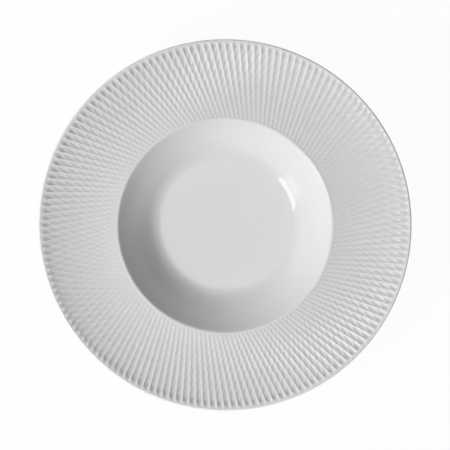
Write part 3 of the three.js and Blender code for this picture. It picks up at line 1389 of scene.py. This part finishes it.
@dataclass
class Studio:
    """Floor, world and lamps."""

    floor_half_width: float = 3.0
    floor_albedo: float = 0.8
    floor_glow: float = 0.965
    floor_shade: float = 0.03
    ambient: float = 0.035
    horizon_top: float = 0.05
    ceiling_start: float = 0.1
    target: Vector = field(default_factory=lambda: Vector((0.0, 0.0, 0.03)))
    lamps: tuple[Softbox, ...] = (
        Softbox(
            "key_softbox", azimuth=207.0, zenith=42.0, distance=1.3,
            width=0.5, height=0.42, power=8.6, mirrored=False,
        ),
        Softbox(
            "mirrored_softbox", azimuth=213.5, zenith=42.0, distance=1.5,
            width=0.46, height=0.66, power=4.9,
        ),
        Softbox(
            "mirrored_skirt", azimuth=213.5, zenith=73.0, distance=1.5,
            width=0.4, height=0.97, power=2.4,
        ),
        Softbox(
            "side_panel", azimuth=159.0, zenith=77.0, distance=1.5,
            width=0.83, height=0.37, power=0.7,
        ),
        Softbox(
            "left_fill", azimuth=120.0, zenith=72.0, distance=1.5,
            width=0.7, height=0.5, power=2.0, mirrored=False,
        ),
        Softbox(
            "right_fill", azimuth=297.0, zenith=72.0, distance=1.5,
            width=0.7, height=0.5, power=2.1, mirrored=False,
        ),
        Softbox(
            "top_softbox", azimuth=207.0, zenith=0.0, distance=1.5,
            width=0.6, height=0.6, power=1.37,
        ),
    )

    def set_up(self) -> None:
        """Makes everything around the plate."""
        bpy.context.scene.view_settings.view_transform = "Standard"
        self._lay_floor()
        self._light_world()
        for lamp in self.lamps:
            lamp.hang(self.target)

    @staticmethod
    def _seen_plainly(sums: NodeSums) -> bpy.types.NodeSocket:
        """Tells the rays that show the background from those that carry light.

        Args:
            sums: The tree that asks.

        Returns:
            Socket of 1 for rays of the camera, of reflections and through glass.
        """
        path = sums.node("ShaderNodeLightPath")
        seen = sums.math("MAXIMUM", path.outputs["Is Camera Ray"], path.outputs["Is Glossy Ray"])
        return sums.math("MAXIMUM", seen, path.outputs["Is Transmission Ray"])

    def _lay_floor(self) -> None:
        """Lays the plain white floor, which keeps a faint shadow."""
        half = self.floor_half_width
        mesh = bpy.data.meshes.new("floor")
        corners = [(-half, -half, 0.0), (half, -half, 0.0), (half, half, 0.0), (-half, half, 0.0)]
        mesh.from_pydata(corners, [], [(0, 1, 2, 3)])
        floor = new_object("floor", mesh)
        made = bpy.data.materials.new("white_floor")
        made.use_nodes = True
        tree = made.node_tree
        tree.nodes.clear()
        sums = NodeSums(tree)
        plain = sums.node("ShaderNodeBsdfDiffuse")
        plain.inputs["Color"].default_value = grey(self.floor_albedo)
        shaded = sums.node("ShaderNodeBsdfDiffuse")
        shaded.inputs["Color"].default_value = grey(self.floor_shade)
        glow = sums.node("ShaderNodeEmission")
        glow.inputs["Strength"].default_value = self.floor_glow
        white = sums.node("ShaderNodeAddShader")
        sums.feed(shaded.outputs[0], white.inputs[0])
        sums.feed(glow.outputs[0], white.inputs[1])
        mix = sums.node("ShaderNodeMixShader")
        sums.feed(self._seen_plainly(sums), mix.inputs[0])
        sums.feed(plain.outputs[0], mix.inputs[1])
        sums.feed(white.outputs[0], mix.inputs[2])
        out = sums.node("ShaderNodeOutputMaterial")
        sums.feed(mix.outputs[0], out.inputs["Surface"])
        mesh.materials.append(made)

    def _light_world(self) -> None:
        """Gives the world a narrow white horizon under an even, dim ceiling."""
        world = bpy.data.worlds.new("white_studio")
        bpy.context.scene.world = world
        world.use_nodes = True
        tree = world.node_tree
        tree.nodes.clear()
        sums = NodeSums(tree)
        glow = sums.node("ShaderNodeBackground")
        place = sums.node("ShaderNodeTexCoord")
        parts = sums.node("ShaderNodeSeparateXYZ")
        sums.feed(place.outputs["Generated"], parts.inputs["Vector"])
        fade = sums.node("ShaderNodeMapRange", interpolation_type="SMOOTHSTEP")
        sums.feed(parts.outputs["Z"], fade.inputs["Value"])
        fade.inputs["From Min"].default_value = self.horizon_top
        fade.inputs["From Max"].default_value = self.ceiling_start
        fade.inputs["To Min"].default_value = 1.0
        fade.inputs["To Max"].default_value = self.ambient
        sums.feed(fade.outputs["Result"], glow.inputs["Strength"])
        out = sums.node("ShaderNodeOutputWorld")
        sums.feed(glow.outputs[0], out.inputs["Surface"])


@dataclass(frozen=True)
class PhotoCamera:
    """The camera that looks down on the plate from a little off its axis."""

    aim: tuple[float, float, float] = (0.00019, 0.00213, 0.0435)
    azimuth: float = 84.0
    tilt: float = 5.2
    roll: float = 0.17
    distance: float = 0.72
    lens: float = 76.466

    def set_up(self) -> None:
        """Makes the camera and gives it to the scene."""
        lens = bpy.data.cameras.new("photo_camera")
        lens.lens = self.lens
        made = new_object("photo_camera", lens)
        back = sky_direction(self.azimuth, self.tilt)
        roll = math.radians(self.roll)
        upward = Vector((-math.sin(roll), math.cos(roll), 0.0))
        right = upward.cross(back).normalized()
        up = back.cross(right)
        turned = Matrix((right, up, back)).transposed().to_4x4()
        made.matrix_world = Matrix.Translation(Vector(self.aim) + back * self.distance) @ turned
        bpy.context.scene.camera = made


def main() -> None:
    """Builds the plate, then the camera and the studio, and reports each piece."""
    logging.basicConfig(level=logging.INFO, format="%(name)s: %(message)s")
    PhotoCamera().set_up()
    for piece in Plate().build():
        triangles = sum(len(face.vertices) - 2 for face in piece.data.polygons)
        LOG.info("%s: %d triangles", piece.name, triangles)
    Studio().set_up()


if __name__ == "__main__":
    main()
